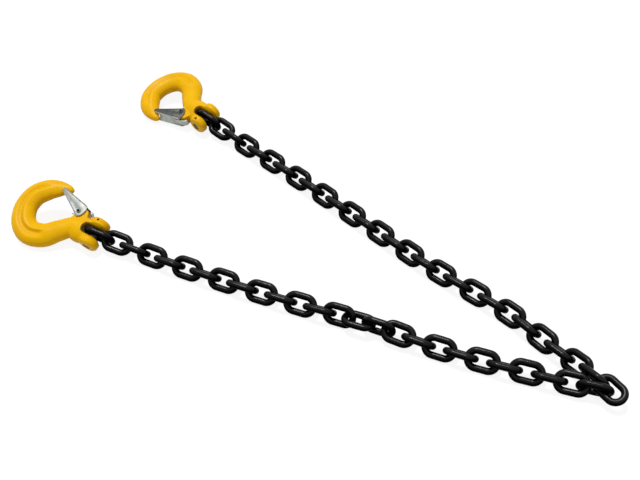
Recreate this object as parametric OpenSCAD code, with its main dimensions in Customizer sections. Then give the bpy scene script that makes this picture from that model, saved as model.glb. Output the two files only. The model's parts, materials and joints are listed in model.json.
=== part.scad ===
// Two-leg chain sling: two forged clevis hooks with safety latches on one
// length of round-link chain, folded at the link in the middle.

/* [Chain] */
// Nominal chain size, the wire diameter of a link, in mm. The hooks are made to suit it.
wire = 8; // [7:0.5:9]
// Inner length of a link, which is the pitch of the chain, in mm.
pitch = 24; // [22:0.5:28]
// Inner width of a link, in mm.
inner_width = 11; // [10.5:0.25:12]
// Play left between the crowns of two neighbouring links, in mm.
crown_gap = 0.3; // [0.2:0.05:0.5]

/* [Hooks] */
// Diameter of the load pin that carries the last link, in mm on a hook for 8 mm chain.
pin_dia = 10; // [9:0.25:11]
// Width of the slot between the ears of the clevis, in mm.
slot_width = 11; // [10:0.25:12]
// Width across the two ears of the clevis, in mm.
boss_width = 37; // [34:0.5:42]
// Radius of the ears round the load pin, in mm.
boss_radius = 12.5; // [11.5:0.25:14]
// Diameter of the spring pin that locks the load pin, in mm.
lock_pin_dia = 3; // [2.5:0.25:3.5]
// Thickness of the lug that the latch swings on, in mm.
lug_width = 14; // [12:0.5:16]
// Diameter of the spring pin that the latch swings on, in mm.
latch_pin_dia = 5; // [4:0.25:5.5]
// Thickness of the sheet the latch is pressed from, in mm.
sheet = 1.5; // [1.2:0.1:2]
// Outer radius of the bend between the web of the latch and its cheeks, in mm.
bend = 2.6; // [2.2:0.2:3.4]
// Width of the latch's tail, in mm.
tail_width = 8.4; // [7:0.2:9.4]
// Wire diameter of the latch spring, in mm.
spring_wire = 1.1; // [0.8:0.1:1.3]
// Throat latch angle, measured from its closed position, in degrees.
latch_open = 0; // [0:1:40]
// Depth of the recess forged into both flanks of the bowl, as a share of its thickness.
flank_recess = 0.14; // [0:0.02:0.2]
// Side clearance between the latch cheeks and the lug they swing on, in mm.
latch_play = 0.5; // [0.3:0.1:0.8]

/* [Hidden] */
made_for = 8;
k = wire / made_for;
rad = wire / 2;
crown = inner_width / 2 + rad;
straight = pitch - inner_width;
step = pitch - crown_gap;
rest = rad + crown * sin(45) + 0.1;
// Load pin of a hook: play in its bores, play to the last link, place of the locking pin
bore_play = 0.1;
pin_play = 0.15;
lock_at = (slot_width + boss_width) / 4 + 2.2;
slot_root = pin_dia / 2 + made_for + 2 - slot_width / 2;
boss_half = boss_width / 2;
// Latch: place of its pin, half of its inner width, how far the bends reach in over the lug
latch_at = [30, 14.2, 0];
latch_half = lug_width / 2 + latch_play;
bend_reach = bend - sheet + 0.8;
// Length of each cut that goes right through a piece
through = 60;

// Lie of the chain on the ground, worked out from the photo. Links are counted
// from the apex, the link in the middle; each table holds [link number, value].
front_count = 26;
back_count = 27;
apex_at = [360, -11, rest + 4.8 * k];
apex_head = 156.5;
apex_roll = 21;
// Heading of each link on the ground, in degrees from the x axis
front_heads = [[1, 195], [2, 192], [3, 194.5], [4, 195], [5, 195], [7, 191.5], [9, 189.5],
    [11, 190], [13, 190.5], [16, 191.5], [19, 189.5], [23, 187.5], [26, 192.5]];
back_heads = [[1, 160.5], [2, 161.5], [3, 165.5], [4, 162.5], [5, 162], [7, 172], [9, 173],
    [12, 167.5], [18, 167.5], [22, 170], [25, 170], [27, 175.5]];
// Turn of each link about its own length, before every other link is turned by 90
front_rolls = [[1, 20], [2, 36], [3, 45], [9, 45], [14, -45], [23, -45], [24, -50], [25, -58],
    [26, -67]];
back_rolls = [[1, 31], [2, 47], [3, 45], [24, 45], [25, 38], [26, 28], [27, 17]];
// Height of each link above its lie on flat ground, for an 8 mm chain
front_lifts = [[0, 0], [1, 1.9], [2, 0], [8, 0], [9, 0.9], [10, 2.7], [11, 2.9], [12, 2.2],
    [13, 1.5], [14, 0.1], [15, 0], [22, 0], [23, 0.3], [24, 1.6], [25, 4], [26, 7.1]];
back_lifts = [[0, 0], [1, 2.4], [2, 0], [23, 0], [24, 0.4], [25, 1.9], [26, 4.6], [27, 7.5]];

function heads(leg, n) = lookup(n, leg == 0 ? front_heads : back_heads);
function base_roll(leg, n) = lookup(n, leg == 0 ? front_rolls : back_rolls);
function height(leg, n) = rest + k * lookup(n, leg == 0 ? front_lifts : back_lifts);
function count(leg) = leg == 0 ? front_count : back_count;
// A joint between two links twisted against each other pulls them closer together
function twist(leg, n) = n < 1 || n >= count(leg) ? 0 : base_roll(leg, n + 1) - base_roll(leg, n);
function eased(leg, n) = step - 0.00085 * k * (pow(twist(leg, n - 1), 2) + pow(twist(leg, n), 2));
function way(h, p) = [cos(h) * cos(p), sin(h) * cos(p), sin(p)];
// One row per link of a leg: centre, heading, pitch and roll; the last row is the load pin
function run(leg, n, from) = let(last_one = n == count(leg), long = eased(leg, n),
    far = last_one ? long / 2 + pitch / 2 - k * pin_dia / 2 - pin_play : long,
    p = asin((height(leg, n) - from[2]) / far), w = way(heads(leg, n), p),
    row = [from + w * long / 2, heads(leg, n), p, base_roll(leg, n) - (n % 2) * 90])
    concat([row], last_one ? [[from + w * far]] : run(leg, n + 1, from + w * far));

// The back leg leaves through the outer end of the apex link, the front leg
// leaves beside it, over the wire of the same crown
apex_way = way(apex_head, 0);
apex_left = [-sin(apex_head), cos(apex_head), 0];
apex_y = cos(apex_roll) * apex_left - sin(apex_roll) * [0, 0, 1];
apex_z = cross(apex_way, apex_y);
front_wire = apex_at + k * (-1.1 * apex_way + 1.4 * apex_y + -1.1 * apex_z);
first_rise = height(0, 1) - front_wire[2];
first_pitch = asin(first_rise / (rad + crown_gap / 2 + eased(0, 1)));
front_from = front_wire + (rad + crown_gap / 2) * way(heads(0, 1), first_pitch);
front_leg = run(0, 1, front_from);
back_leg = run(1, 1, apex_at + apex_way * step / 2);
front_pin = front_leg[front_count][0];
back_pin = back_leg[back_count][0];

// How each hook lies: heading of its shank, slope, and turn about its own length
front_heading = 184.8;
front_pitch = 4.95;
front_turn = 158.7;
back_heading = 171.6;
back_pitch = -1.5;
back_turn = -13.8;

// Geometry of one link
module link() {
    for (end = [-1, 1]) {
        translate([end * straight / 2, 0, 0]) rotate([0, 0, -end * 90])
            rotate_extrude(angle = 180, $fn = 48) translate([crown, 0]) circle(r = rad, $fn = 24);
    }
    for (side = [-1, 1]) {
        translate([0, side * crown, 0]) rotate([0, 90, 0])
            cylinder(r = rad, h = straight, center = true, $fn = 24);
    }
}

// Places a link at its spot in the lie of a leg
module placed(row) {
    color("DimGray") translate(row[0]) rotate([0, -row[2], row[1]]) rotate([-row[3], 0, 0]) link();
}
module apex_link() {
    placed([apex_at, apex_head, 0, apex_roll]);
}
module front_link(n) {
    placed(front_leg[n - 1]);
}
module back_link(n) {
    placed(back_leg[n - 1]);
}

// Carries a hook part, drawn about its load pin, to the end of a leg
module at_front() {
    translate(front_pin) rotate([0, -front_pitch, front_heading]) rotate([front_turn, 0, 0])
        scale(k) children();
}
module at_back() {
    translate(back_pin) rotate([0, -back_pitch, back_heading]) rotate([back_turn, 0, 0])
        scale(k) children();
}

// Forged hook: rows of centre x, centre y, half width in the plane, half thickness
stations = [[1, 0.5, 16.6, 11.2], [9, -1.2, 16.6, 11.6], [18.1, -4.4, 14.9, 11.2],
    [29.2, -5.5, 13.7, 10.3], [42.6, -16.4, 13.4, 10.5], [55, -28.6, 14.9, 11],
    [72.4, -32.7, 15.5, 11], [87.5, -24.8, 15, 11], [96.4, -7.8, 14.5, 11],
    [95.2, 11.1, 13.9, 11], [84.7, 24.7, 13.2, 10], [72.8, 32.1, 10.8, 7.5],
    [63.4, 35.9, 7.2, 6], [57.5, 36.6, 4.5, 4.5], [54.6, 36.8, 1.6, 1.6]];
cuts = 4;
sides = 24;
last = len(stations) - 1;

function station(i) = stations[max(0, min(last, i))];
function blend(i, t) = 0.5 * (2 * station(i) + t * (station(i + 1) - station(i - 1))
    + t * t * (2 * station(i - 1) - 5 * station(i) + 4 * station(i + 1) - station(i + 2))
    + t * t * t * (3 * station(i) - station(i - 1) - 3 * station(i + 1) + station(i + 2)));
function spine(u) = u >= last ? station(last) : blend(floor(u), u - floor(u));
function unit(v) = v / norm(v);
function along(u) = let(d = spine(min(last, u + 0.05)) - spine(max(0, u - 0.05))) unit([d[0], d[1]]);
// Recess forged into both flanks: none on the shank, deepest round the bowl, fading to the tip
function fade(u) = max(0, min(1, (u - 4) / 1.6)) * max(0, min(1, (11 - u) / 1.8));
function flank(a) = exp(-pow((cos(a) + 0.05) / 0.3, 2));
function ring(u) = let(c = spine(u), d = along(u)) [for (i = [0 : sides - 1])
    let(a = 360 * i / sides, w = c[2] * cos(a),
        t = c[3] * sin(a) * (1 - flank_recess * fade(u) * flank(a)))
    [c[0] - d[1] * w, c[1] + d[0] * w, t]];
rings = round(last * cuts) + 1;
hook_points = [for (j = [0 : rings - 1]) each ring(j * last / (rings - 1))];
hook_faces = concat([[for (i = [0 : sides - 1]) i]],
    [for (j = [0 : rings - 2]) for (i = [0 : sides - 1])
        let(p = j * sides + i, q = j * sides + (i + 1) % sides)
        each [[p, p + sides, q + sides], [p, q + sides, q]]],
    [[for (i = [sides - 1 : -1 : 0]) (rings - 1) * sides + i]]);

// Half of the boss outline round the load pin: radius, distance along the pin
boss_outline = [[0, 0], [boss_radius, 0], [boss_radius, boss_half - 4.5],
    [boss_radius - 0.3, boss_half - 2.9], [boss_radius - 1.1, boss_half - 1.5],
    [boss_radius - 2.4, boss_half - 0.5], [boss_radius - 4.1, boss_half], [0, boss_half]];

module boss() {
    for (side = [-1, 1]) {
        rotate([-side * 90, 0, 0]) rotate_extrude($fn = 64) polygon(boss_outline);
    }
}
// Lug for the latch, seen from the side of the hook and drawn about the latch pin
module lug_outline() {
    polygon([[-14, -12.2], [-13.8, -2.2], [-12.4, 2.3], [-10.4, 5.4], [-8, 6.7], [-5.4, 6.8],
        [-3, 6], [0, 5.8], [0, -0.2], [4.2, -4.6], [5.4, -12.2]]);
    circle(d = latch_pin_dia + 7, $fn = 48);
}
module lug() {
    translate(latch_at) difference() {
        linear_extrude(lug_width, center = true) lug_outline();
        translate([-coil_room - 1.8, -coil_room, -spring_slot / 2]) cube([20, 14, spring_slot]);
    }
}
// Chain slot of the clevis, with a round root and ears hollowed toward their ends
hollow_side = [[boss_radius - 8.5, 0], [boss_radius - 6, slot_width / 2 - 0.05],
    [boss_radius - 4.5, slot_width / 2 + 0.7], [boss_radius - 2.5, slot_width / 2 + 2.1],
    [boss_radius, slot_width / 2 + 4.4], [boss_radius + 2.5, slot_width / 2 + 7.1]];
ear_hollow = concat(hollow_side, [for (i = [5 : -1 : 1]) [hollow_side[i][0], -hollow_side[i][1]]]);
module chain_slot() {
    translate([slot_root, 0, 0]) cylinder(d = slot_width, h = through, center = true, $fn = 48);
    translate([-through / 2, -slot_width / 2, -through / 2])
        cube([through / 2 + slot_root, slot_width, through]);
    intersection() {
        rotate([-90, 0, 0]) rotate_extrude($fn = 64) polygon(ear_hollow);
        translate([3 - through, -through / 2, -through / 2]) cube(through);
    }
}
module hook_body() {
    color("Goldenrod") difference() {
        union() {
            polyhedron(hook_points, hook_faces, convexity = 6);
            boss();
            lug();
        }
        chain_slot();
        rotate([90, 0, 0]) cylinder(d = pin_dia + bore_play, h = through, center = true, $fn = 48);
        translate([0, lock_at, 0]) {
            cylinder(d = lock_pin_dia + bore_play, h = through, center = true, $fn = 24);
            translate([0, 0, boss_radius - 0.9]) cylinder(d = lock_pin_dia + 1.4, h = 10, $fn = 24);
        }
        translate(latch_at)
            cylinder(d = latch_pin_dia + bore_play, h = through, center = true, $fn = 32);
    }
}

// Load pin with the cross hole for the spring pin that locks it
module load_pin() {
    body = boss_width - 4;
    color("DarkGray") difference() {
        union() {
            rotate([90, 0, 0]) cylinder(d = pin_dia, h = body, center = true, $fn = 48);
            for (side = [-1, 1]) {
                rotate([-side * 90, 0, 0]) translate([0, 0, body / 2])
                    cylinder(d1 = pin_dia, d2 = pin_dia - 2, h = 1, $fn = 48);
            }
        }
        translate([0, lock_at, 0])
            cylinder(d = lock_pin_dia + bore_play, h = through, center = true, $fn = 24);
    }
}
// Slotted spring pins, one through the ear and the load pin, one under the latch
module spring_pin(d, h) {
    difference() {
        cylinder(d = d, h = h, center = true, $fn = 32);
        cylinder(d = d * 0.62, h = h + 1, center = true, $fn = 32);
        translate([0, -d * 0.08, -h]) cube([d, d * 0.16, 2 * h]);
    }
}
module lock_pin() {
    color("Silver") translate([0, lock_at, 0]) spring_pin(lock_pin_dia, 2 * boss_radius - 3);
}
module latch_pin() {
    color("Silver") translate(latch_at) rotate([0, 0, 70])
        spring_pin(latch_pin_dia, 2 * (latch_half + sheet) + 2.4);
}

// Safety latch, pressed from sheet, drawn about its pin with x toward the beak.
// The web runs along the upper edge of the cheeks.
web_start = [9.2, 10.24];
web_end = [30.6, 5.72];
web_angle = atan2(web_end[1] - web_start[1], web_end[0] - web_start[0]);
tail_root = web_start + [cos(web_angle), sin(web_angle)];
tail_line = [tail_root, [4.2, 11.3], [-5.8, 12.9], [-8.9, 12.6], [-11.1, 11.3], [-12.6, 9.2]];
function facing(i, p) = let(t = unit(p[min(len(p) - 1, i + 1)] - p[max(0, i - 1)])) [-t[1], t[0]];
tail_under = [for (i = [len(tail_line) - 1 : -1 : 0]) tail_line[i] + sheet * facing(i, tail_line)];
module cheek_outline() {
    circle(d = latch_pin_dia + 7.4, $fn = 48);
    polygon([[-2.2, -5.8], [4, -4.75], [37.3, -0.9], [38.3, 0], [38.4, 2.6], [37.6, 3.9],
        [33.9, 5.02], [4.2, 11.3], [0.5, 11], [-1.6, 9], [-4, 4.7]]);
}
// Bar along the web, its two upper edges rounded, with its top this far under the outer face
module web_bar(half, round, drop) {
    arc = [for (a = [0 : 15 : 90]) [round * (sin(a) - 1) - drop, half - round * (1 - cos(a))]];
    mirrored = [for (i = [len(arc) - 1 : -1 : 0]) [arc[i][0], -arc[i][1]]];
    translate([web_start[0], web_start[1], 0]) rotate([0, 0, web_angle]) rotate([90, 0, 90])
        translate([0, 0, -through / 2]) linear_extrude(2 * through)
            polygon(concat([[-through, half]], arc, mirrored, [[-through, -half]]));
}
module latch() {
    color("Gainsboro") translate(latch_at) rotate([0, 0, 25.3 - latch_open]) {
        difference() {
            intersection() {
                linear_extrude(2 * (latch_half + sheet), center = true) cheek_outline();
                web_bar(latch_half + sheet, bend, 0);
            }
            web_bar(latch_half, bend - sheet, sheet);
            linear_extrude(2 * (latch_half - bend_reach), center = true)
                polygon([[0, 0], [-20, 0], [-20, 20], [web_start[0] + 0.2, 20], web_start, [8.8, 0]]);
            linear_extrude(2 * latch_half, center = true)
                polygon([[-20, 0], [-20, 20], [-0.2, 20], [0.4, 0]]);
            linear_extrude(2 * latch_half, center = true)
                polygon([[30.1, -5], web_end, [32, 20], [60, 20], [60, -5]]);
            cylinder(d = latch_pin_dia + bore_play, h = through, center = true, $fn = 32);
        }
        linear_extrude(tail_width, center = true) polygon(concat(tail_line, tail_under));
    }
}

// Torsion spring round the latch pin: one leg lies on the lug, the other pushes the web outward
coil_wire = spring_wire / 2;
coil_radius = latch_pin_dia / 2 + 0.85 + coil_wire;
coil_room = coil_radius + coil_wire + 0.15;
coil_half = 1.97;
spring_slot = 2 * (coil_half + coil_wire + 0.18);
coil_turn = 1225.3;
coil_steps = 66;
coil_line = [for (i = [0 : coil_steps]) let(a = -90 - coil_turn * i / coil_steps)
    [coil_radius * cos(a), coil_radius * sin(a), 2 * coil_half * (i / coil_steps - 0.5)]];
spring_line = concat([[8.6, -coil_radius, -coil_half], [4.5, -coil_radius, -coil_half]], coil_line,
    [[4.5, 7.85, coil_half], [11.5, 12.7, coil_half]]);
function tangent(i, p) = unit(p[min(len(p) - 1, i + 1)] - p[max(0, i - 1)]);
function around(i, p, r) = let(t = tangent(i, p), s = unit(cross([0, 0, 1], t)), v = cross(t, s))
    [for (j = [0 : 5]) p[i] + r * (cos(60 * j) * s + sin(60 * j) * v)];
spring_points = [for (i = [0 : len(spring_line) - 1]) each around(i, spring_line, coil_wire)];
spring_faces = concat([[for (j = [0 : 5]) j]],
    [for (i = [0 : len(spring_line) - 2]) for (j = [0 : 5])
        let(p = i * 6 + j, q = i * 6 + (j + 1) % 6) each [[p, p + 6, q + 6], [p, q + 6, q]]],
    [[for (j = [5 : -1 : 0]) (len(spring_line) - 1) * 6 + j]]);
module latch_spring() {
    color("Gray") translate(latch_at) polyhedron(spring_points, spring_faces, convexity = 8);
}

// Two neighbouring links of the twisted stretch, shown as one group of two pieces
module front_pair(n) {
    front_link(n);
    front_link(n + 1);
}
module back_pair(n) {
    back_link(n);
    back_link(n + 1);
}

at_front() hook_body();  // hook_front
at_front() load_pin();  // load_pin_front
at_front() lock_pin();  // lock_pin_front
at_front() latch();  // latch_front
at_front() latch_pin();  // latch_pin_front
at_front() latch_spring();  // latch_spring_front
at_back() hook_body();  // hook_back
at_back() load_pin();  // load_pin_back
at_back() lock_pin();  // lock_pin_back
at_back() latch();  // latch_back
at_back() latch_pin();  // latch_pin_back
at_back() latch_spring();  // latch_spring_back
apex_link();
front_link(1);  // front_link_01
front_link(2);  // front_link_02
front_link(3);  // front_link_03
front_link(4);  // front_link_04
front_link(5);  // front_link_05
front_link(6);  // front_link_06
front_link(7);  // front_link_07
front_link(8);  // front_link_08
front_pair(9);  // front_links_09_10
front_pair(11);  // front_links_11_12
front_pair(13);  // front_links_13_14
front_link(15);  // front_link_15
front_link(16);  // front_link_16
front_link(17);  // front_link_17
front_link(18);  // front_link_18
front_link(19);  // front_link_19
front_link(20);  // front_link_20
front_link(21);  // front_link_21
front_link(22);  // front_link_22
front_link(23);  // front_link_23
front_link(24);  // front_link_24
front_link(25);  // front_link_25
front_link(26);  // front_link_26
back_link(1);  // back_link_01
back_link(2);  // back_link_02
back_link(3);  // back_link_03
back_link(4);  // back_link_04
back_link(5);  // back_link_05
back_link(6);  // back_link_06
back_link(7);  // back_link_07
back_link(8);  // back_link_08
back_pair(9);  // back_links_09_10
back_pair(11);  // back_links_11_12
back_pair(13);  // back_links_13_14
back_link(15);  // back_link_15
back_link(16);  // back_link_16
back_link(17);  // back_link_17
back_link(18);  // back_link_18
back_link(19);  // back_link_19
back_link(20);  // back_link_20
back_link(21);  // back_link_21
back_link(22);  // back_link_22
back_link(23);  // back_link_23
back_link(24);  // back_link_24
back_link(25);  // back_link_25
back_link(26);  // back_link_26
back_link(27);  // back_link_27
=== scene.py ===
"""A two-leg lifting chain with clevis hooks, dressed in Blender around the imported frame."""

import json
import math

import bmesh
import bpy
import numpy as np
from mathutils import Matrix, Vector


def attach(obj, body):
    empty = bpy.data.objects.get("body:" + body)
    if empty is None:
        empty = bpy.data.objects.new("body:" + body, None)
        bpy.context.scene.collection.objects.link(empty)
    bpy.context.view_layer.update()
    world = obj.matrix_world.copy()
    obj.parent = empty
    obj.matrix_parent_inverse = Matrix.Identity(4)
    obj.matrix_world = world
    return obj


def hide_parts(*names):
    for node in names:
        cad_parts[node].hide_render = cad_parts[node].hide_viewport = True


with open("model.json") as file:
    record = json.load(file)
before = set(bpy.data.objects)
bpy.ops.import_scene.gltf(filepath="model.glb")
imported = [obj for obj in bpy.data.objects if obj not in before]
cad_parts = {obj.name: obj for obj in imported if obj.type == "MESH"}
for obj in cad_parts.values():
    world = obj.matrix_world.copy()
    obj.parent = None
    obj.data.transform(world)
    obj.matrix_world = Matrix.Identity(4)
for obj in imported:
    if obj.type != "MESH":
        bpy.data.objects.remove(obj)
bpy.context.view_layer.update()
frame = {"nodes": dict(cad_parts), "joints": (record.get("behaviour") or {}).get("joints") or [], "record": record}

MM = 0.001
ENDS = ("front", "back")
JOINTS = {joint["name"]: joint for joint in frame["joints"]}

# Camera and view, in metres of the row frame
CAMERA_AT = Vector((0.4929, -0.7520, 0.8788))
CAMERA_HEADING = Vector((-0.5519, 0.8339))
CAMERA_DOWN = math.radians(43.33)
LENS = 60.1


def make_camera():
    data = bpy.data.cameras.new("camera")
    data.sensor_width = 36
    data.lens = LENS
    data.clip_end = 100
    camera = bpy.data.objects.new("camera", data)
    bpy.context.scene.collection.objects.link(camera)
    flat = CAMERA_HEADING.normalized() * math.cos(CAMERA_DOWN)
    look = Vector((flat.x, flat.y, -math.sin(CAMERA_DOWN)))
    camera.location = CAMERA_AT
    camera.rotation_euler = look.to_track_quat("-Z", "Y").to_euler()
    bpy.context.scene.camera = camera


make_camera()
bpy.context.scene.view_settings.view_transform = "Standard"


# Node helpers
class Nodes:
    """A small writer of shader nodes for one material or world."""

    def __init__(self, tree):
        self.tree = tree
        tree.nodes.clear()

    def add(self, kind, inputs=None, **settings):
        node = self.tree.nodes.new(kind)
        for key, value in settings.items():
            setattr(node, key, value)
        for key, value in (inputs or {}).items():
            self.feed(node.inputs[key], value)
        return node

    def feed(self, socket, value):
        """Links another node's output to the socket, or sets a plain value."""
        if isinstance(value, bpy.types.NodeSocket):
            self.tree.links.new(value, socket)
        else:
            socket.default_value = value

    def noise(self, vector, scale, detail=4.0, rough=0.5, distortion=0.0):
        inputs = {"Vector": vector, "Scale": scale, "Detail": detail, "Roughness": rough,
                  "Distortion": distortion}
        return self.add("ShaderNodeTexNoise", inputs).outputs[0]

    def ramp(self, value, stops):
        node = self.add("ShaderNodeValToRGB", {"Fac": value})
        first, last = node.color_ramp.elements
        first.position, first.color = stops[0]
        last.position, last.color = stops[-1]
        for position, color in stops[1:-1]:
            node.color_ramp.elements.new(position).color = color
        return node.outputs["Color"]

    def spread(self, value, low, high, start=0.0, end=1.0):
        """Low where the value is at its start, high at its end, and even steps between."""
        inputs = {"Value": value, "From Min": start, "From Max": end, "To Min": low, "To Max": high}
        return self.add("ShaderNodeMapRange", inputs).outputs[0]

    def math(self, operation, a, b=0.0):
        return self.add("ShaderNodeMath", {0: a, 1: b}, operation=operation).outputs[0]

    def parts(self, vector):
        return self.add("ShaderNodeSeparateXYZ", {0: vector}).outputs

    def mix(self, factor, a, b, blend="MIX"):
        node = self.add("ShaderNodeMix", data_type="RGBA", blend_type=blend)
        for index, value in ((0, factor), (6, a), (7, b)):
            self.feed(node.inputs[index], value)
        return node.outputs[2]

    def bump(self, height, distance, strength=1.0, normal=None):
        inputs = {"Height": height, "Distance": distance, "Strength": strength}
        if normal is not None:
            inputs["Normal"] = normal
        return self.add("ShaderNodeBump", inputs).outputs[0]

    def surface(self, **inputs):
        named = {key.replace("_", " "): value for key, value in inputs.items()}
        shader = self.add("ShaderNodeBsdfPrincipled", named)
        self.add("ShaderNodeOutputMaterial", {"Surface": shader.outputs[0]})


def new_material(name):
    """A material, the writer of its nodes and each point's place in its piece, in metres."""
    material = bpy.data.materials.new(name)
    material.use_nodes = True
    nodes = Nodes(material.node_tree)
    place = nodes.add("ShaderNodeAttribute", attribute_name="place").outputs["Vector"]
    return material, nodes, place


def rgb(r, g, b):
    return (r, g, b, 1.0)


def gray(v):
    return rgb(v, v, v)


# Hook enamel and its painted shade colours, with the reach of the painted shade in sheltered corners in metres
ENAMEL = [(0.25, rgb(0.82, 0.43, 0.0006)), (0.55, rgb(0.88, 0.475, 0.0008)), (0.8, rgb(0.93, 0.525, 0.002))]
ENAMEL_PAINTED_HOLLOW_SHADE = rgb(0.50, 0.25, 0.0005)
ENAMEL_PAINTED_SHADE = rgb(0.45, 0.225, 0.0004)
ENAMEL_SHADOW = rgb(0.05, 0.022, 0.001)
ENAMEL_RUBBED = rgb(0.95, 0.60, 0.06)
ENAMEL_SPECK = rgb(0.40, 0.19, 0.01)
PAINTED_SHADE_REACH = 0.014

# Distances from the load pin's middle, in metres, between which the dark of the chain slot fades out
DARK_X = (0.0152, 0.0168)
DARK_Y = (0.0066, 0.0084)
DARK_Z = (0.004, 0.0112)


def in_slot(n, place):
    """1 deep in the chain slot, where hardly any light comes, and 0 outside it."""
    at = n.parts(place)
    across = n.spread(n.math("ABSOLUTE", at["Z"]), 1.0, 0.0, *DARK_Z)
    between = n.spread(n.math("ABSOLUTE", at["Y"]), 1.0, 0.0, *DARK_Y)
    along = n.spread(at["X"], 1.0, 0.0, *DARK_X)
    return n.math("MULTIPLY", n.math("MULTIPLY", across, between), along)


def yellow_paint():
    """Glossy enamel on a forging: slight orange peel, uneven film, rubbed edges, with painted shade in hollows, in
    sheltered corners and deep in the chain slot.
    """
    material, n, place = new_material("hook_enamel_painted_shade")
    base = n.ramp(n.noise(place, scale=38, detail=5, rough=0.6), ENAMEL)
    point = n.add("ShaderNodeNewGeometry").outputs["Pointiness"]
    # Painted shade: darker in hollows, where the surface curves inward.
    hollow = n.spread(point, 1.0, 0.0, start=0.44, end=0.495)
    base = n.mix(n.math("MULTIPLY", hollow, 0.5), base, ENAMEL_PAINTED_HOLLOW_SHADE)
    # Painted shade: darker where ambient occlusion finds the hook sheltering itself.
    painted_shade_ao = n.add("ShaderNodeAmbientOcclusion", {"Distance": PAINTED_SHADE_REACH}, samples=8, only_local=True)
    base = n.mix(n.spread(painted_shade_ao.outputs["AO"], 0.75, 0.0, start=0.25, end=0.95), base, ENAMEL_PAINTED_SHADE)
    base = n.mix(n.math("MULTIPLY", in_slot(n, place), 0.82), base, ENAMEL_SHADOW)
    edge = n.spread(point, 0.0, 1.0, start=0.515, end=0.58)
    chips = n.spread(n.noise(place, scale=420, detail=3, rough=0.6), 0.0, 1.0, start=0.52, end=0.66)
    base = n.mix(n.math("MULTIPLY", n.math("MULTIPLY", edge, chips), 0.4), base, ENAMEL_RUBBED)
    specks = n.spread(n.noise(place, scale=900, detail=2), 0.0, 1.0, start=0.70, end=0.76)
    base = n.mix(n.math("MULTIPLY", specks, 0.25), base, ENAMEL_SPECK)
    rough = n.spread(n.noise(place, scale=70, rough=0.6), 0.27, 0.42)
    forged = n.bump(n.noise(place, scale=160, rough=0.55), distance=0.00035, strength=0.5)
    peel = n.bump(n.noise(place, scale=900, detail=3), distance=0.00006, strength=0.5, normal=forged)
    n.surface(Base_Color=base, Roughness=rough, Normal=peel, Specular_IOR_Level=0.09)
    return material


# Chain lacquer
LACQUER = [(0.3, rgb(0.0004, 0.0004, 0.0005)), (0.7, rgb(0.0018, 0.0017, 0.0018))]
LACQUER_RUBBED = rgb(0.045, 0.045, 0.048)


def black_lacquer():
    """Black finish over drawn and welded steel: fine scale, rubbed spots, and a painted sheen, its specular level
    turned up on what faces up and down on what faces down, for highlights from above.
    """
    material, n, place = new_material("chain_lacquer_painted_sheen")
    base = n.ramp(n.noise(place, scale=220, detail=5, rough=0.6), LACQUER)
    shape = n.add("ShaderNodeNewGeometry").outputs
    spots = n.spread(n.noise(place, scale=650, rough=0.65), 0.0, 1.0, start=0.6, end=0.74)
    rubbed = n.math("MULTIPLY", spots, n.spread(shape["Pointiness"], 0.0, 1.0, start=0.50, end=0.53))
    base = n.mix(n.math("MULTIPLY", rubbed, 0.35), base, LACQUER_RUBBED)
    rough = n.spread(n.noise(place, scale=300, rough=0.6), 0.20, 0.32)
    scale = n.bump(n.noise(place, scale=750, detail=5, rough=0.65), distance=0.00012, strength=0.3)
    # Painted highlight: the reflection is made stronger on faces that point up and weaker on those below.
    painted_sheen = n.spread(n.parts(shape["Normal"])["Z"], 0.006, 0.18, start=0.4, end=0.98)
    n.surface(Base_Color=base, Roughness=rough, Normal=scale, Specular_IOR_Level=painted_sheen)
    return material


# Plated and bright steel, with the place along its pin in metres past which painted shade darkens a latch's cheeks
PLATE_TINT = rgb(0.42, 0.40, 0.29)
FLANK = 0.0088
FLANK_FADE = 0.0008


def steel(name, light, dark, rough, grain=(60, 60, 60), tint=None, flank_shade=None):
    """Cloudy plating or bright metal, with fine grain along the sheet or wire, and painted shade on the outer
    faces of a latch's cheeks where flank_shade is given.
    """
    material, n, place = new_material(name)
    cloud = n.noise(place, scale=130, detail=5, rough=0.6, distortion=0.4)
    base = n.ramp(cloud, [(0.3, dark), (0.62, light)])
    stretched = n.add("ShaderNodeMapping", {"Vector": place, "Scale": grain}).outputs[0]
    lines = n.noise(stretched, scale=40, rough=0.6)
    base = n.mix(n.spread(lines, 0.0, 0.22, start=0.35, end=0.7), base, dark)
    if tint is not None:
        patches = n.spread(n.noise(place, scale=75, detail=3, rough=0.6), 0.0, 1.0, start=0.5, end=0.72)
        base = n.mix(n.math("MULTIPLY", patches, 0.4), base, tint)
    if flank_shade is not None:
        out = n.math("ABSOLUTE", n.parts(place)["Z"])
        # Painted shade on the outer faces of a latch's cheeks.
        cheek = n.spread(out, 0.0, 1.0, start=FLANK - FLANK_FADE, end=FLANK)
        base = n.mix(cheek, base, gray(flank_shade), "MULTIPLY")
    film = n.spread(n.noise(place, scale=210, rough=0.6), *rough)
    drawn = n.bump(lines, distance=0.00004, strength=0.5)
    grit = n.noise(place, scale=1600, detail=3, rough=0.6)
    fine = n.bump(grit, distance=0.00003, strength=0.4, normal=drawn)
    n.surface(Base_Color=base, Roughness=film, Normal=fine, Metallic=1.0)
    return material


# Zinc plate with painted shade on a latch's cheeks; the two latches are lit and shaded copies, the back one far
# darker.
def latch_zinc(end, flank_shade):
    return steel("latch_%s_zinc_plate_painted_shade" % end, rgb(0.42, 0.44, 0.42), rgb(0.25, 0.27, 0.26), (0.44, 0.60),
                 grain=(6, 60, 60), tint=PLATE_TINT, flank_shade=flank_shade)


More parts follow.
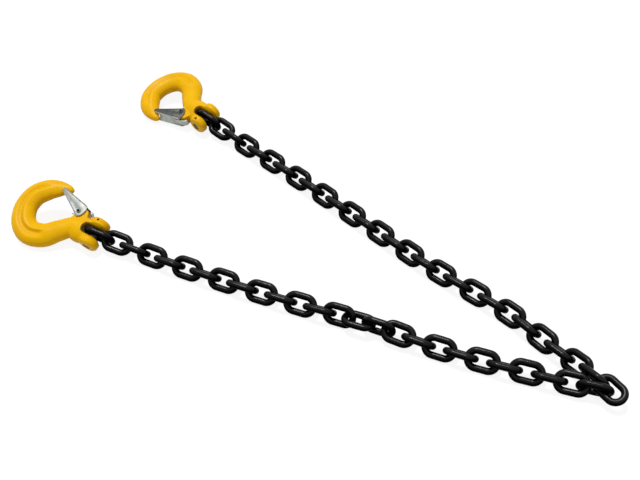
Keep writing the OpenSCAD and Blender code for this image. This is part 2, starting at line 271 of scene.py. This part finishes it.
YELLOW = yellow_paint()
BLACK = black_lacquer()
LATCH_ZINC_PAINTED_SHADE = {"front": latch_zinc("front", 0.66), "back": latch_zinc("back", 0.2)}
PIN_STEEL = steel("pin_steel_plate", gray(0.13), gray(0.05), (0.30, 0.48), grain=(60, 6, 60))
SPRING_STEEL = steel("spring_wire_steel", gray(0.20), gray(0.10), (0.22, 0.36))


# Mesh helpers
def new_object(name, verts, faces, matrix=None, scale=MM):
    """A mesh object from points in millimetres, in its own frame."""
    mesh = bpy.data.meshes.new(name)
    mesh.from_pydata([tuple(c * scale for c in v) for v in verts], [], faces)
    mesh.validate()
    obj = bpy.data.objects.new(name, mesh)
    bpy.context.scene.collection.objects.link(obj)
    if matrix is not None:
        obj.matrix_world = matrix
    return obj


def outward(obj):
    bm = bmesh.new()
    bm.from_mesh(obj.data)
    bmesh.ops.recalc_face_normals(bm, faces=bm.faces)
    bm.to_mesh(obj.data)
    bm.free()


def solid(name, verts, faces, matrix=None):
    """A closed mesh object whose faces look outward."""
    obj = new_object(name, verts, faces, matrix)
    outward(obj)
    return obj


def shade_smooth(obj, angle=None):
    for polygon in obj.data.polygons:
        polygon.use_smooth = True
    if angle is not None:
        obj.data.set_sharp_from_angle(angle=math.radians(angle))


def apply_modifiers(obj):
    bpy.context.view_layer.update()
    graph = bpy.context.evaluated_depsgraph_get()
    mesh = bpy.data.meshes.new_from_object(obj.evaluated_get(graph))
    old = obj.data
    obj.modifiers.clear()
    obj.data = mesh
    bpy.data.meshes.remove(old)
    mesh.name = obj.name


def combine(obj, other, operation):
    """Adds, cuts or keeps what another object covers, which is then removed."""
    modifier = obj.modifiers.new("combine", "BOOLEAN")
    modifier.operation = operation
    modifier.solver = "EXACT"
    modifier.object = other
    apply_modifiers(obj)
    bpy.data.objects.remove(other)


def remesh(obj, voxel, rounds):
    """Grows the mesh anew from even cells and rounds its edges."""
    modifier = obj.modifiers.new("remesh", "REMESH")
    modifier.mode = "VOXEL"
    modifier.voxel_size = voxel * MM
    modifier = obj.modifiers.new("smooth", "SMOOTH")
    modifier.factor = 0.5
    modifier.iterations = rounds
    apply_modifiers(obj)


def grid_faces(rows, columns, closed_rows=False):
    """Quads between rings of points; the columns always close, and the rows do so or end in caps."""
    faces = []
    for i in range(rows if closed_rows else rows - 1):
        a, b = i * columns, ((i + 1) % rows) * columns
        for j in range(columns):
            k = (j + 1) % columns
            faces.append((a + j, b + j, b + k, a + k))
    if not closed_rows:
        faces.append(tuple(range(columns)))
        faces.append(tuple(reversed(range((rows - 1) * columns, rows * columns))))
    return faces


def prism_faces(count):
    """Faces of a prism, from the points round one end and then round the other."""
    faces = [tuple(reversed(range(count))), tuple(range(count, 2 * count))]
    return faces + [(i, (i + 1) % count, count + (i + 1) % count, count + i) for i in range(count)]


def sweep(path, radius, sides, closed=False):
    """Rings round a path, which turn with it as little as they can."""
    path = [Vector(p) for p in path]
    count = len(path)
    rings, side = [], None
    for i, point in enumerate(path):
        before = path[i - 1] if closed or i else point
        after = path[(i + 1) % count] if closed or i < count - 1 else point
        along = (after - before).normalized()
        if side is None:
            side = along.orthogonal().normalized()
        side = (side - along * side.dot(along)).normalized()
        other = along.cross(side)
        r = radius(i) if callable(radius) else radius
        for j in range(sides):
            a = 2 * math.pi * j / sides
            rings.append(tuple(point + r * (math.cos(a) * side + math.sin(a) * other)))
    return rings, grid_faces(count, sides, closed)


def lathe(outline, sides, closed=False):
    """Rings about the local z axis from (radius, height) pairs; a closed outline doesn't reach the axis."""
    turns = [2 * math.pi * j / sides for j in range(sides)]
    points = [(r * math.cos(a), r * math.sin(a), z) for r, z in outline for a in turns]
    return points, grid_faces(len(outline), sides, closed)


def slab(outline, low, high):
    """A flat plate with that outline, from one height to another."""
    points = [(x, y, z) for z in (low, high) for x, y in outline]
    return points, prism_faces(len(outline))


def arc(cx, cy, r, start, end, count):
    """Points round a circle, both ends among them, with angles in degrees."""
    turns = [math.radians(start + (end - start) * i / (count - 1)) for i in range(count)]
    return [(cx + r * math.cos(a), cy + r * math.sin(a)) for a in turns]


def curve_point(rows, i, t):
    """A point on the smooth curve through the rows, a share t of the way from row i to the next."""
    last = len(rows) - 1
    near = [rows[max(0, min(last, i + k))] for k in (-1, 0, 1, 2)]
    return [0.5 * (2 * b + t * (c - a) + t * t * (2 * a - 5 * b + 4 * c - d)
                   + t ** 3 * (3 * b - a - 3 * c + d)) for a, b, c, d in zip(*near)]


def ease(t):
    """0 up to 0, 1 from 1 on, and a soft step between."""
    t = max(0.0, min(1.0, t))
    return t * t * (3 - 2 * t)


def settle(obj, shift):
    """Keeps each point's place in the piece for its material, and moves the mesh into the row frame."""
    mesh = obj.data
    points = np.empty(len(mesh.vertices) * 3, np.float32)
    mesh.vertices.foreach_get("co", points)
    place = mesh.attributes.new("place", "FLOAT_VECTOR", "POINT")
    place.data.foreach_set("vector", points + np.float32(shift))
    mesh.transform(obj.matrix_world)
    obj.matrix_world = Matrix.Identity(4)


def finish_piece(obj, body, slot, material, *nodes, shift=0.0):
    settle(obj, shift)
    obj.data.materials.clear()
    obj.data.materials.append(material)
    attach(obj, body)
    if nodes:
        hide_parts(*nodes)


# Link sizes in millimetres: the crown's radius is that of the wire's middle line, and the weld is a low bead
# with a fine seam in it
WIRE_RADIUS = 4.0
WIRE_TRIM = 0.02
CROWN = 9.5
STRAIGHT = 13.0
WELD_BEAD, WELD_BEAD_HALF = 0.09, 1.9
WELD_SEAM, WELD_SEAM_HALF = 0.10, 0.34
WELD_STEPS, CROWN_STEPS, PLAIN_STEPS = 26, 32, 8
LINK_SEED = 100
PATTERN_STEP = 0.07


def link_places(node):
    """One frame for each separate solid in a node: centre, long axis, width and normal."""
    mesh = frame["nodes"][node].data
    points = np.array([v.co for v in mesh.vertices])
    group = list(range(len(points)))

    def root(i):
        while group[i] != i:
            group[i] = group[group[i]]
            i = group[i]
        return i

    keys = {}
    for i, p in enumerate(np.round(points, 6)):
        j = keys.setdefault(tuple(p), i)
        group[root(i)] = root(j)
    for edge in mesh.edges:
        group[root(edge.vertices[0])] = root(edge.vertices[1])
    roots = np.array([root(i) for i in range(len(points))])
    places = []
    for one in sorted(set(roots), key=lambda r: int(np.flatnonzero(roots == r)[0])):
        part = np.unique(np.round(points[roots == one], 7), axis=0)
        centre = part.mean(0)
        axes = np.linalg.svd(part - centre, full_matrices=False)[2]
        spans = (part - centre) @ axes.T
        centre = centre + ((spans.max(0) + spans.min(0)) / 2) @ axes
        columns = (axes[0], axes[1], np.cross(axes[0], axes[1]), centre)
        rows = [[float(column[row]) for column in columns] for row in range(3)]
        places.append(Matrix(rows + [[0, 0, 0, 1]]))
    return places


def link_mesh(name, matrix, seed):
    """Round wire bent to a link, with the swelling and the trimmed flash of the butt weld in one side."""
    rng = np.random.default_rng(seed)
    half = STRAIGHT / 2
    path = [(half * (-1 + 2 * i / WELD_STEPS), CROWN, 0) for i in range(WELD_STEPS)]
    path += [(x, y, 0) for x, y in arc(half, 0, CROWN, 90, -90, CROWN_STEPS + 1)[:-1]]
    path += [(half * (1 - 2 * i / PLAIN_STEPS), -CROWN, 0) for i in range(PLAIN_STEPS)]
    path += [(x, y, 0) for x, y in arc(-half, 0, CROWN, -90, -270, CROWN_STEPS + 1)[:-1]]
    shift = rng.uniform(-0.5, 0.5)
    lump = rng.uniform(0.8, 1.15)

    def radius(i):
        if i >= WELD_STEPS:
            return WIRE_RADIUS - WIRE_TRIM
        s = path[i][0] - shift
        bead = (WELD_BEAD * math.exp(-(s / WELD_BEAD_HALF) ** 2)
                - WELD_SEAM * math.exp(-(s / WELD_SEAM_HALF) ** 2))
        return WIRE_RADIUS - WIRE_TRIM + lump * bead

    obj = solid(name, *sweep(path, radius, sides=24, closed=True), matrix)
    shade_smooth(obj)
    return obj


def build_links():
    """A link for each solid of each chain node, with its own weld and its own part of the noise."""
    count = 0
    for body, members in frame["record"]["behaviour"]["bodies"].items():
        for node in members:
            if "link" not in node:
                continue
            places = link_places(node)
            names = [node]
            if len(places) > 1:
                leg, numbers = node.split("_links_")
                names = [leg + "_link_" + number for number in numbers.split("_")]
            for place, name in zip(places, names):
                count += 1
                obj = link_mesh(name + "_piece", place, LINK_SEED + count)
                finish_piece(obj, body, "chain_black", BLACK, node, shift=PATTERN_STEP * count)


build_links()

# Hook sizes in millimetres, from the middle of the load pin: x toward the bowl, y along the load pin,
# z along the latch's pin. A station of the body is x, y, half its width and half its thickness.
STATIONS = [(1, 0.5, 16.6, 11.2), (9, -1.2, 16.6, 11.6), (18.1, -4.4, 14.9, 11.2),
            (29.2, -4.5, 12.6, 10.3), (42.6, -16.4, 13.4, 10.5), (55, -28.6, 14.9, 11),
            (72.4, -32.7, 15.5, 11), (87.5, -24.8, 15, 11), (96.4, -7.8, 14.5, 11),
            (95.2, 11.1, 13.9, 11), (84.7, 24.7, 13.2, 10), (72.8, 32.0, 10.5, 7.5),
            (63.4, 35.6, 6.6, 6), (57.5, 36.3, 3.9, 4.3), (54.6, 36.5, 1.5, 1.5)]
BODY_TRIM = 0.998
TANGENT_STEP = 0.05

# The groove's depth is a share of the thickness, its start and end are counted in stations, and its sides are
# cosines of the angle round the body
GROOVE = 0.30
GROOVE_START, GROOVE_GROWTH = 4.75, 0.5
GROOVE_END, GROOVE_DECAY = 10.8, 1.4
GROOVE_INSIDE, GROOVE_FLOOR, GROOVE_OUTSIDE = -0.60, -0.02, 0.20

# Boss and ear hollow are turned about the load pin, as pairs of radius and height. A row of the flare is a
# distance from the hook's middle plane and how much wider than the slot it is there.
BOSS = [(0.01, 0), (12.5, 0), (12.5, 14), (12.2, 15.6), (11.4, 17), (10.1, 18), (8.4, 18.5), (0.01, 18.5)]
EAR_HOLLOW = [(4, 0), (6.5, 5.45), (8, 6.2), (10, 7.6), (12.5, 9.9), (15, 12.6)]
EAR_HOLLOW_END = 3
SLOT_HALF = 5.5
SLOT_ROOT = 9.5
SLOT_FLARE = [(5, 0.0), (6.5, 0.25), (8, 0.8), (9.5, 1.7), (11, 2.9), (13, 4.9)]

# Lug that carries the latch, and the pins' diameters and places
LUG = [(16, 2), (16.2, 12), (17.6, 16.5), (19.6, 19.6), (22, 20.9), (24.6, 21), (27, 20.2)]
LUG_ROUND = 6
LUG_FOOT = (35.4, 2)
LUG_HALF = 7
SPRING_SLOT = [(23.6, 9.6), (44, 9.6), (44, 24), (23.6, 24)]
SPRING_SLOT_HALF = 2.7
PIVOT = (30.0, 14.2)
LATCH_TURN = math.radians(25.3)
LOAD_PIN, LOCK_PIN, LATCH_PIN = 10, 3, 5
LOCK_Y = 14.2
LOCK_SINK, LOCK_SINK_HALF, LOCK_SINK_Z = 2.2, 5, 16.6
PLAY = 0.05

# Reach of the cutters, and the cells and rounds of smoothing with which the forging is grown anew
CLEAR, FAR = 20, 30
FIRST_CELLS, FIRST_ROUNDS = 0.8, 8
LAST_CELLS, LAST_ROUNDS = 0.55, 4


def hook_frame(end):
    """Frame of a hook: y along the load pin, -z along the latch's axis, origin in the load pin."""
    swing, turn = JOINTS["hook_%s_swing" % end], JOINTS["latch_%s_turn" % end]
    y = Vector(swing["axis"]).normalized()
    z = -Vector(turn["axis"]).normalized()
    x = y.cross(z).normalized()
    z = x.cross(y)
    matrix = Matrix((x, y, z)).transposed().to_4x4()
    matrix.translation = Vector(swing["pos_m"])
    return matrix


def pivot_frame(end, turn=0.0):
    """Frame of a hook moved to the latch's pin and turned about it."""
    shift = Matrix.Translation((PIVOT[0] * MM, PIVOT[1] * MM, 0))
    return hook_frame(end) @ (shift @ Matrix.Rotation(turn, 4, "Z"))


# Forged hook
def spine(u):
    """Middle, half width and half thickness of the body, at a place counted in stations."""
    i = min(int(math.floor(u)), len(STATIONS) - 2)
    return curve_point(STATIONS, i, u - i)


def groove_depth(c):
    """Share of the groove's depth at that cosine of the angle round the body."""
    if c < GROOVE_FLOOR:
        return ease((c - GROOVE_INSIDE) / (GROOVE_FLOOR - GROOVE_INSIDE))
    return ease((GROOVE_OUTSIDE - c) / GROOVE_OUTSIDE)


def hook_ring(u, sides):
    """The outline of the body at a place along its spine, with a groove in both faces of the bowl."""
    x, y, wide, thick = spine(u)
    after, before = spine(min(len(STATIONS) - 1, u + TANGENT_STEP)), spine(max(0, u - TANGENT_STEP))
    d = Vector((after[0] - before[0], after[1] - before[1])).normalized()
    fade = ease((u - GROOVE_START) / GROOVE_GROWTH) * ease((GROOVE_END - u) / GROOVE_DECAY)
    ring = []
    for j in range(sides):
        a = 2 * math.pi * j / sides
        w = wide * math.cos(a) * BODY_TRIM
        t = thick * math.sin(a) * (1 - GROOVE * fade * groove_depth(math.cos(a))) * BODY_TRIM
        ring.append((x - d.y * w, y + d.x * w, t))
    return ring


def slot_flare(sign):
    """The slot widens toward the face of the forging: each ear is a petal and the root a broad oval."""
    turns = [math.radians(-90 + 180 * i / 24) for i in range(25)]
    points = []
    for z, wider in SLOT_FLARE:
        half = SLOT_HALF + wider
        root = [(SLOT_ROOT + SLOT_HALF * math.cos(a), half * math.sin(a)) for a in turns]
        points += [(x, y, sign * z) for x, y in [(-FAR, -half)] + root + [(-FAR, half)]]
    return points, grid_faces(len(SLOT_FLARE), len(turns) + 2)


def along_y(points, faces):
    """A form turned to stand along y, as the load pin does, instead of z."""
    return [(x, z, y) for x, y, z in points], faces


def drill(radius, sides, x=0, y=0, z=0, half=FAR):
    """A cutter for a round hole along z with its middle at that place."""
    points, faces = lathe([(radius, -half), (radius, half)], sides)
    return [(px + x, py + y, pz + z) for px, py, pz in points], faces


def shape(obj, form, operation):
    """Adds, cuts or keeps what a form covers, given as its points and faces."""
    combine(obj, solid("tool", *form), operation)


def ear_hollow():
    """The cutter that dishes the inner faces of the ears round the load pin."""
    outline = EAR_HOLLOW + [(r, -h) for r, h in reversed(EAR_HOLLOW[1:])]
    cutter = solid("tool", *along_y(*lathe(outline, sides=96, closed=True)))
    near = [(-CLEAR, -CLEAR), (EAR_HOLLOW_END, -CLEAR), (EAR_HOLLOW_END, CLEAR), (-CLEAR, CLEAR)]
    shape(cutter, slab(near, -CLEAR, CLEAR), "INTERSECT")
    return cutter


def hook_mesh():
    """The forging: body, bosses and lug grown into one, then the slots and the holes cut in it."""
    rows, sides = 10 * len(STATIONS), 72
    last = len(STATIONS) - 1
    points = [p for i in range(rows) for p in hook_ring(last * i / (rows - 1), sides)]
    body = solid("hook_forging", points, grid_faces(rows, sides))
    for sign in (-1, 1):
        points, faces = lathe(BOSS, sides=96)
        shape(body, ([(x, sign * z, y) for x, y, z in points], faces), "UNION")
    heel = arc(*PIVOT, LUG_ROUND, start=84, end=-48, count=18)
    shape(body, slab(LUG + heel + [LUG_FOOT], -LUG_HALF, LUG_HALF), "UNION")
    remesh(body, FIRST_CELLS, FIRST_ROUNDS)
    root = arc(SLOT_ROOT, 0, SLOT_HALF, start=-90, end=90, count=40)
    slot = [(-FAR, -SLOT_HALF)] + root + [(-FAR, SLOT_HALF)]
    for cut in (slab(slot, -FAR, FAR), slot_flare(1), slot_flare(-1),
                slab(SPRING_SLOT, -SPRING_SLOT_HALF, SPRING_SLOT_HALF)):
        shape(body, cut, "DIFFERENCE")
    combine(body, ear_hollow(), "DIFFERENCE")
    remesh(body, LAST_CELLS, LAST_ROUNDS)
    for hole in (along_y(*drill(LOAD_PIN / 2 + PLAY, sides=96)),
                 drill(LOCK_PIN / 2 + PLAY, sides=40, y=LOCK_Y),
                 drill(LOCK_SINK, sides=40, y=LOCK_Y, z=LOCK_SINK_Z, half=LOCK_SINK_HALF),
                 drill(LATCH_PIN / 2 + PLAY, 48, *PIVOT)):
        shape(body, hole, "DIFFERENCE")
    shade_smooth(body, angle=38)
    return body


def build_hooks():
    master = hook_mesh()
    for end in ENDS:
        obj = bpy.data.objects.new("hook_%s_forging" % end, master.data.copy())
        bpy.context.scene.collection.objects.link(obj)
        obj.matrix_world = hook_frame(end)
        finish_piece(obj, "hook_" + end, "hook_paint", YELLOW, "hook_" + end)
    bpy.data.objects.remove(master)


build_hooks()

# Pin sizes in millimetres. The bore and the slot of a rolled pin are shares of its diameter, and a row of its
# rounding is a distance from its end and its width there as a share.
LOAD_PIN_END = [(LOAD_PIN / 2, 15.6), (LOAD_PIN / 2, 16.4), (3.95, 17.35), (3.4, 17.5), (0.01, 17.5)]
LOCK_PIN_LENGTH, LATCH_PIN_LENGTH = 22, 20.4
LATCH_PIN_TURN = 70
PIN_BORE = 0.31
PIN_SLOT = 0.16
PIN_ROUNDING = [(0, 0.9), (0.25, 0.97), (0.7, 1.0)]
PIN_SIDES = 44


def load_pin(end):
    """A turned pin with chamfered ends."""
    radius, full = LOAD_PIN_END[0]
    outline = [(r, -z) for r, z in reversed(LOAD_PIN_END)]
    outline += [(radius, -full + 2 * full * i / 12) for i in range(1, 12)]
    points, faces = lathe(outline + LOAD_PIN_END, sides=64)
    obj = solid("load_pin_%s_turned" % end, [(x, z, -y) for x, y, z in points], faces, hook_frame(end))
    shade_smooth(obj, angle=35)
    finish_piece(obj, "hook_" + end, "pin_steel", PIN_STEEL, "load_pin_" + end)


def open_ring(radius, slot_half):
    """Points round a circle, from one side of a slot in it to the other."""
    start = math.degrees(math.asin(slot_half / radius))
    turns = [math.radians(start + (360 - 2 * start) * i / PIN_SIDES) for i in range(PIN_SIDES + 1)]
    return [(radius * math.cos(a), radius * math.sin(a)) for a in turns]


def spring_pin(kind, end, diameter, length, x, y, turn):
    """Rolled strip with a slot along it and rounded ends."""
    slot_half = PIN_SLOT * diameter / 2
    outer, inner = open_ring(diameter / 2, slot_half), open_ring(diameter * PIN_BORE, slot_half)[::-1]
    half = length / 2
    levels = [(-half + step, grow) for step, grow in PIN_ROUNDING]
    levels += [(half - step, grow) for step, grow in reversed(PIN_ROUNDING)]
    points = []
    for z, grow in levels:
        points += [(px * grow, py * grow, z) for px, py in outer] + [(px, py, z) for px, py in inner]
    spin = Matrix.Rotation(math.radians(turn), 4, "Z")
    place = hook_frame(end) @ Matrix.Translation((x * MM, y * MM, 0)) @ spin
    node = "%s_pin_%s" % (kind, end)
    obj = solid(node + "_rolled", points, grid_faces(len(levels), len(outer + inner)), place)
    shade_smooth(obj, angle=35)
    finish_piece(obj, "hook_" + end, "pin_steel", PIN_STEEL, node)


for end in ENDS:
    load_pin(end)
    spring_pin("lock", end, LOCK_PIN, LOCK_PIN_LENGTH, 0, LOCK_Y, 0)
    spring_pin("latch", end, LATCH_PIN, LATCH_PIN_LENGTH, *PIVOT, LATCH_PIN_TURN)

# Latch sizes, from its pin, in millimetres: x toward the beak, z along the pin
CHEEK = [(-2.2, -5.8), (4, -4.75), (37.3, -0.9), (38.3, 0), (38.4, 2.6), (37.6, 3.9), (33.9, 5.02),
         (4.2, 11.3), (0.6, 11.7), (-1.6, 11.1), (-3.6, 9.5), (-5.2, 7.1), (-6.1, 4)]
CHEEK_ROUND = 6.2
CHANNEL_HALF = 7.5
SHEET = 1.5
BEND = 2.6
LIP = 1.9
WEB_START = (9.2, 10.24)
WEB_END = (30.6, 5.72)
WEB_ANGLE = math.atan2(WEB_END[1] - WEB_START[1], WEB_END[0] - WEB_START[0])
WEB_LENGTH, WEB_DEPTH = 60, 40
TAIL_LINE = [(4.2, 11.3), (-5.8, 12.9), (-8.9, 12.6), (-11.1, 11.3), (-12.6, 9.2)]
TAIL_HALF = 4.2
TAIL_CORNER = 2.6
SPRING_GAP = [(0, 0), (8.8, 0), WEB_START, (WEB_START[0] + 0.2, CLEAR), (-CLEAR, CLEAR), (-CLEAR, 0)]
BEHIND_WEB = [(0.4, 0), (-0.2, CLEAR), (-CLEAR, CLEAR), (-CLEAR, 0)]
BEYOND_WEB = [(30.1, -5), (WEB_LENGTH, -5), (WEB_LENGTH, CLEAR), (32, CLEAR), WEB_END]
EDGE = 0.28


def web_bar(half, bend, drop):
    """A bar along the web, its two upper edges rounded, its top that far under the outer face."""
    bends = [(bend * (math.sin(a) - 1) - drop, half - bend * (1 - math.cos(a)))
             for a in (math.radians(90 * i / 8) for i in range(9))]
    profile = [(-WEB_DEPTH, half)] + bends + [(y, -z) for y, z in bends[::-1]] + [(-WEB_DEPTH, -half)]
    dx, dy = math.cos(WEB_ANGLE), math.sin(WEB_ANGLE)
    points = [(WEB_START[0] + x * dx - y * dy, WEB_START[1] + x * dy + y * dx, z)
              for x in (-WEB_LENGTH, WEB_LENGTH) for y, z in profile]
    return points, prism_faces(len(profile))


def smooth_line(points, steps):
    """Points along a curve through the given ones."""
    line = [curve_point(points, i, j / steps) for i in range(len(points) - 1) for j in range(steps)]
    return line + [list(points[-1])]


def latch_tail():
    """The strip past the lug: bent down at its end, which is rounded in plan."""
    root = (WEB_START[0] + math.cos(WEB_ANGLE), WEB_START[1] + math.sin(WEB_ANGLE))
    line = [root] + smooth_line(TAIL_LINE, steps=6)
    reach = [0.0]
    for before, after in zip(line, line[1:]):
        reach.append(reach[-1] + math.dist(before, after))
    points = []
    for i, (x, y) in enumerate(line):
        after, before = line[min(i + 1, len(line) - 1)], line[max(i - 1, 0)]
        along = Vector((after[0] - before[0], after[1] - before[1])).normalized()
        into = max(0.0, TAIL_CORNER - (reach[-1] - reach[i]))
        half = TAIL_HALF - (TAIL_CORNER - math.sqrt(max(0.0, TAIL_CORNER ** 2 - into ** 2)))
        inner = (x - SHEET * along.y, y + SHEET * along.x)
        points += [(x, y, half), (x, y, -half), (*inner, -half), (*inner, half)]
    return points, grid_faces(len(line), 4)


def latch_piece(end):
    """Sheet pressed to a channel: two cheeks, a web with rounded bends to them, a tail past the lug."""
    outline = CHEEK + arc(0, 0, CHEEK_ROUND, start=166, end=249, count=12)
    obj = solid("latch_%s_pressing" % end, *slab(outline, -CHANNEL_HALF - SHEET, CHANNEL_HALF + SHEET))
    for operation, form in (
            ("INTERSECT", web_bar(CHANNEL_HALF + SHEET, BEND, 0)),
            ("DIFFERENCE", web_bar(CHANNEL_HALF, BEND - SHEET, SHEET)),
            ("DIFFERENCE", slab(SPRING_GAP, LIP - CHANNEL_HALF, CHANNEL_HALF - LIP)),
            ("DIFFERENCE", slab(BEHIND_WEB, -CHANNEL_HALF, CHANNEL_HALF)),
            ("DIFFERENCE", slab(BEYOND_WEB, -CHANNEL_HALF, CHANNEL_HALF)),
            ("UNION", latch_tail()),
            ("DIFFERENCE", drill(LATCH_PIN / 2 + PLAY, sides=48, half=CLEAR))):
        shape(obj, form, operation)
    bevel = obj.modifiers.new("edges", "BEVEL")
    bevel.width = EDGE * MM
    bevel.segments = 2
    bevel.limit_method = "ANGLE"
    bevel.angle_limit = math.radians(40)
    apply_modifiers(obj)
    shade_smooth(obj, angle=32)
    obj.matrix_world = pivot_frame(end, LATCH_TURN)
    finish_piece(obj, "latch_" + end, "latch_zinc", LATCH_ZINC_PAINTED_SHADE[end], "latch_" + end)


# Spring sizes in millimetres, from the latch's pin, and angles in degrees
COIL_RADIUS = 3.9
COIL_WIRE = 0.55
COIL_TURN = 1225.3
COIL_HALF = 1.97
COIL_STEPS = 240
OVERLAP_TURN, OVERLAP_STEPS = 55.0, 14
OVERLAP_WIRE = 0.97
LOWER_LEG = [(8.6, -COIL_RADIUS), (6.5, -COIL_RADIUS), (4.5, -COIL_RADIUS), (2, -COIL_RADIUS)]
UPPER_LEG = [(1.95, 6.05), (4.5, 7.85), (8, 10.28), (11.5, 12.7)]


def coil_point(turn):
    a = math.radians(-90 - turn)
    return (COIL_RADIUS * math.cos(a), COIL_RADIUS * math.sin(a), 2 * COIL_HALF * (turn / COIL_TURN - 0.5))


def latch_spring(end):
    """The coil and its lower leg stay with the hook; the upper leg and the coil's end go with the latch."""
    fixed = [(x, y, -COIL_HALF) for x, y in LOWER_LEG]
    fixed += [coil_point(COIL_TURN * i / COIL_STEPS) for i in range(COIL_STEPS + 1)]
    moving = [coil_point(COIL_TURN - OVERLAP_TURN * (1 - i / OVERLAP_STEPS))
              for i in range(OVERLAP_STEPS + 1)]
    moving += [(x, y, COIL_HALF) for x, y in UPPER_LEG]
    node = "latch_spring_" + end
    for name, path, body, wire, nodes in (
            (node + "_coil", fixed, "hook_" + end, COIL_WIRE, (node,)),
            (node + "_leg", moving, "latch_" + end, COIL_WIRE * OVERLAP_WIRE, ())):
        obj = solid(name, *sweep(path, wire, sides=12), pivot_frame(end))
        shade_smooth(obj, angle=50)
        finish_piece(obj, body, "spring_steel", SPRING_STEEL, *nodes)


for end in ENDS:
    latch_piece(end)
    latch_spring(end)

# Floor, world and lamps; the floor's sizes are in metres
WORLD_LIGHT = 0.32
FLOOR_GLOW = 0.88
FLOOR_PLAIN = gray(0.55)
FLOOR_SOFT = gray(0.20)
FLOOR_HALF = 30.0
FLOOR_DROP = 0.0004
LAMPS = [("key", (0.24, -0.08, -0.97), 2.25, 14), ("fill", (-0.6, 0.5, -0.8), 0.30, 60)]


def background_rays(n):
    """1 for the rays that show the background: the camera's, and those that metal and glass throw."""
    rays = n.add("ShaderNodeLightPath").outputs
    seen = n.math("MAXIMUM", rays["Is Camera Ray"], rays["Is Glossy Ray"])
    return n.math("MAXIMUM", seen, rays["Is Transmission Ray"])


def make_world():
    """White to look at, and dimmer as a light."""
    world = bpy.data.worlds.new("studio")
    bpy.context.scene.world = world
    world.use_nodes = True
    n = Nodes(world.node_tree)
    strength = n.spread(background_rays(n), WORLD_LIGHT, 1.0)
    sky = n.add("ShaderNodeBackground", {"Color": gray(1), "Strength": strength})
    n.add("ShaderNodeOutputWorld", {"Surface": sky.outputs[0]})


def make_floor():
    """A plain floor for the light that it throws back, and a white one with a soft shadow to look at."""
    corners = [(-1, -1), (1, -1), (1, 1), (-1, 1)]
    verts = [(x * FLOOR_HALF, y * FLOOR_HALF, 0) for x, y in corners]
    place = Matrix.Translation((0, 0, -FLOOR_DROP))
    floor = new_object("floor", verts, [(0, 1, 2, 3)], place, scale=1)
    material = bpy.data.materials.new("floor_white")
    material.use_nodes = True
    n = Nodes(material.node_tree)
    plain = n.add("ShaderNodeBsdfDiffuse", {"Color": FLOOR_PLAIN})
    soft = n.add("ShaderNodeBsdfDiffuse", {"Color": FLOOR_SOFT})
    glow = n.add("ShaderNodeEmission", {"Color": gray(1), "Strength": FLOOR_GLOW})
    both = n.add("ShaderNodeAddShader", {0: soft.outputs[0], 1: glow.outputs[0]})
    mix = n.add("ShaderNodeMixShader", {0: background_rays(n), 1: plain.outputs[0], 2: both.outputs[0]})
    n.add("ShaderNodeOutputMaterial", {"Surface": mix.outputs[0]})
    floor.data.materials.append(material)


def make_lamp(name, toward, strength, angle):
    data = bpy.data.lights.new(name, "SUN")
    data.energy = strength
    data.angle = math.radians(angle)
    lamp = bpy.data.objects.new(name, data)
    bpy.context.scene.collection.objects.link(lamp)
    lamp.rotation_euler = Vector(toward).to_track_quat("-Z", "Y").to_euler()


make_world()
make_floor()
for lamp in LAMPS:
    make_lamp(*lamp)
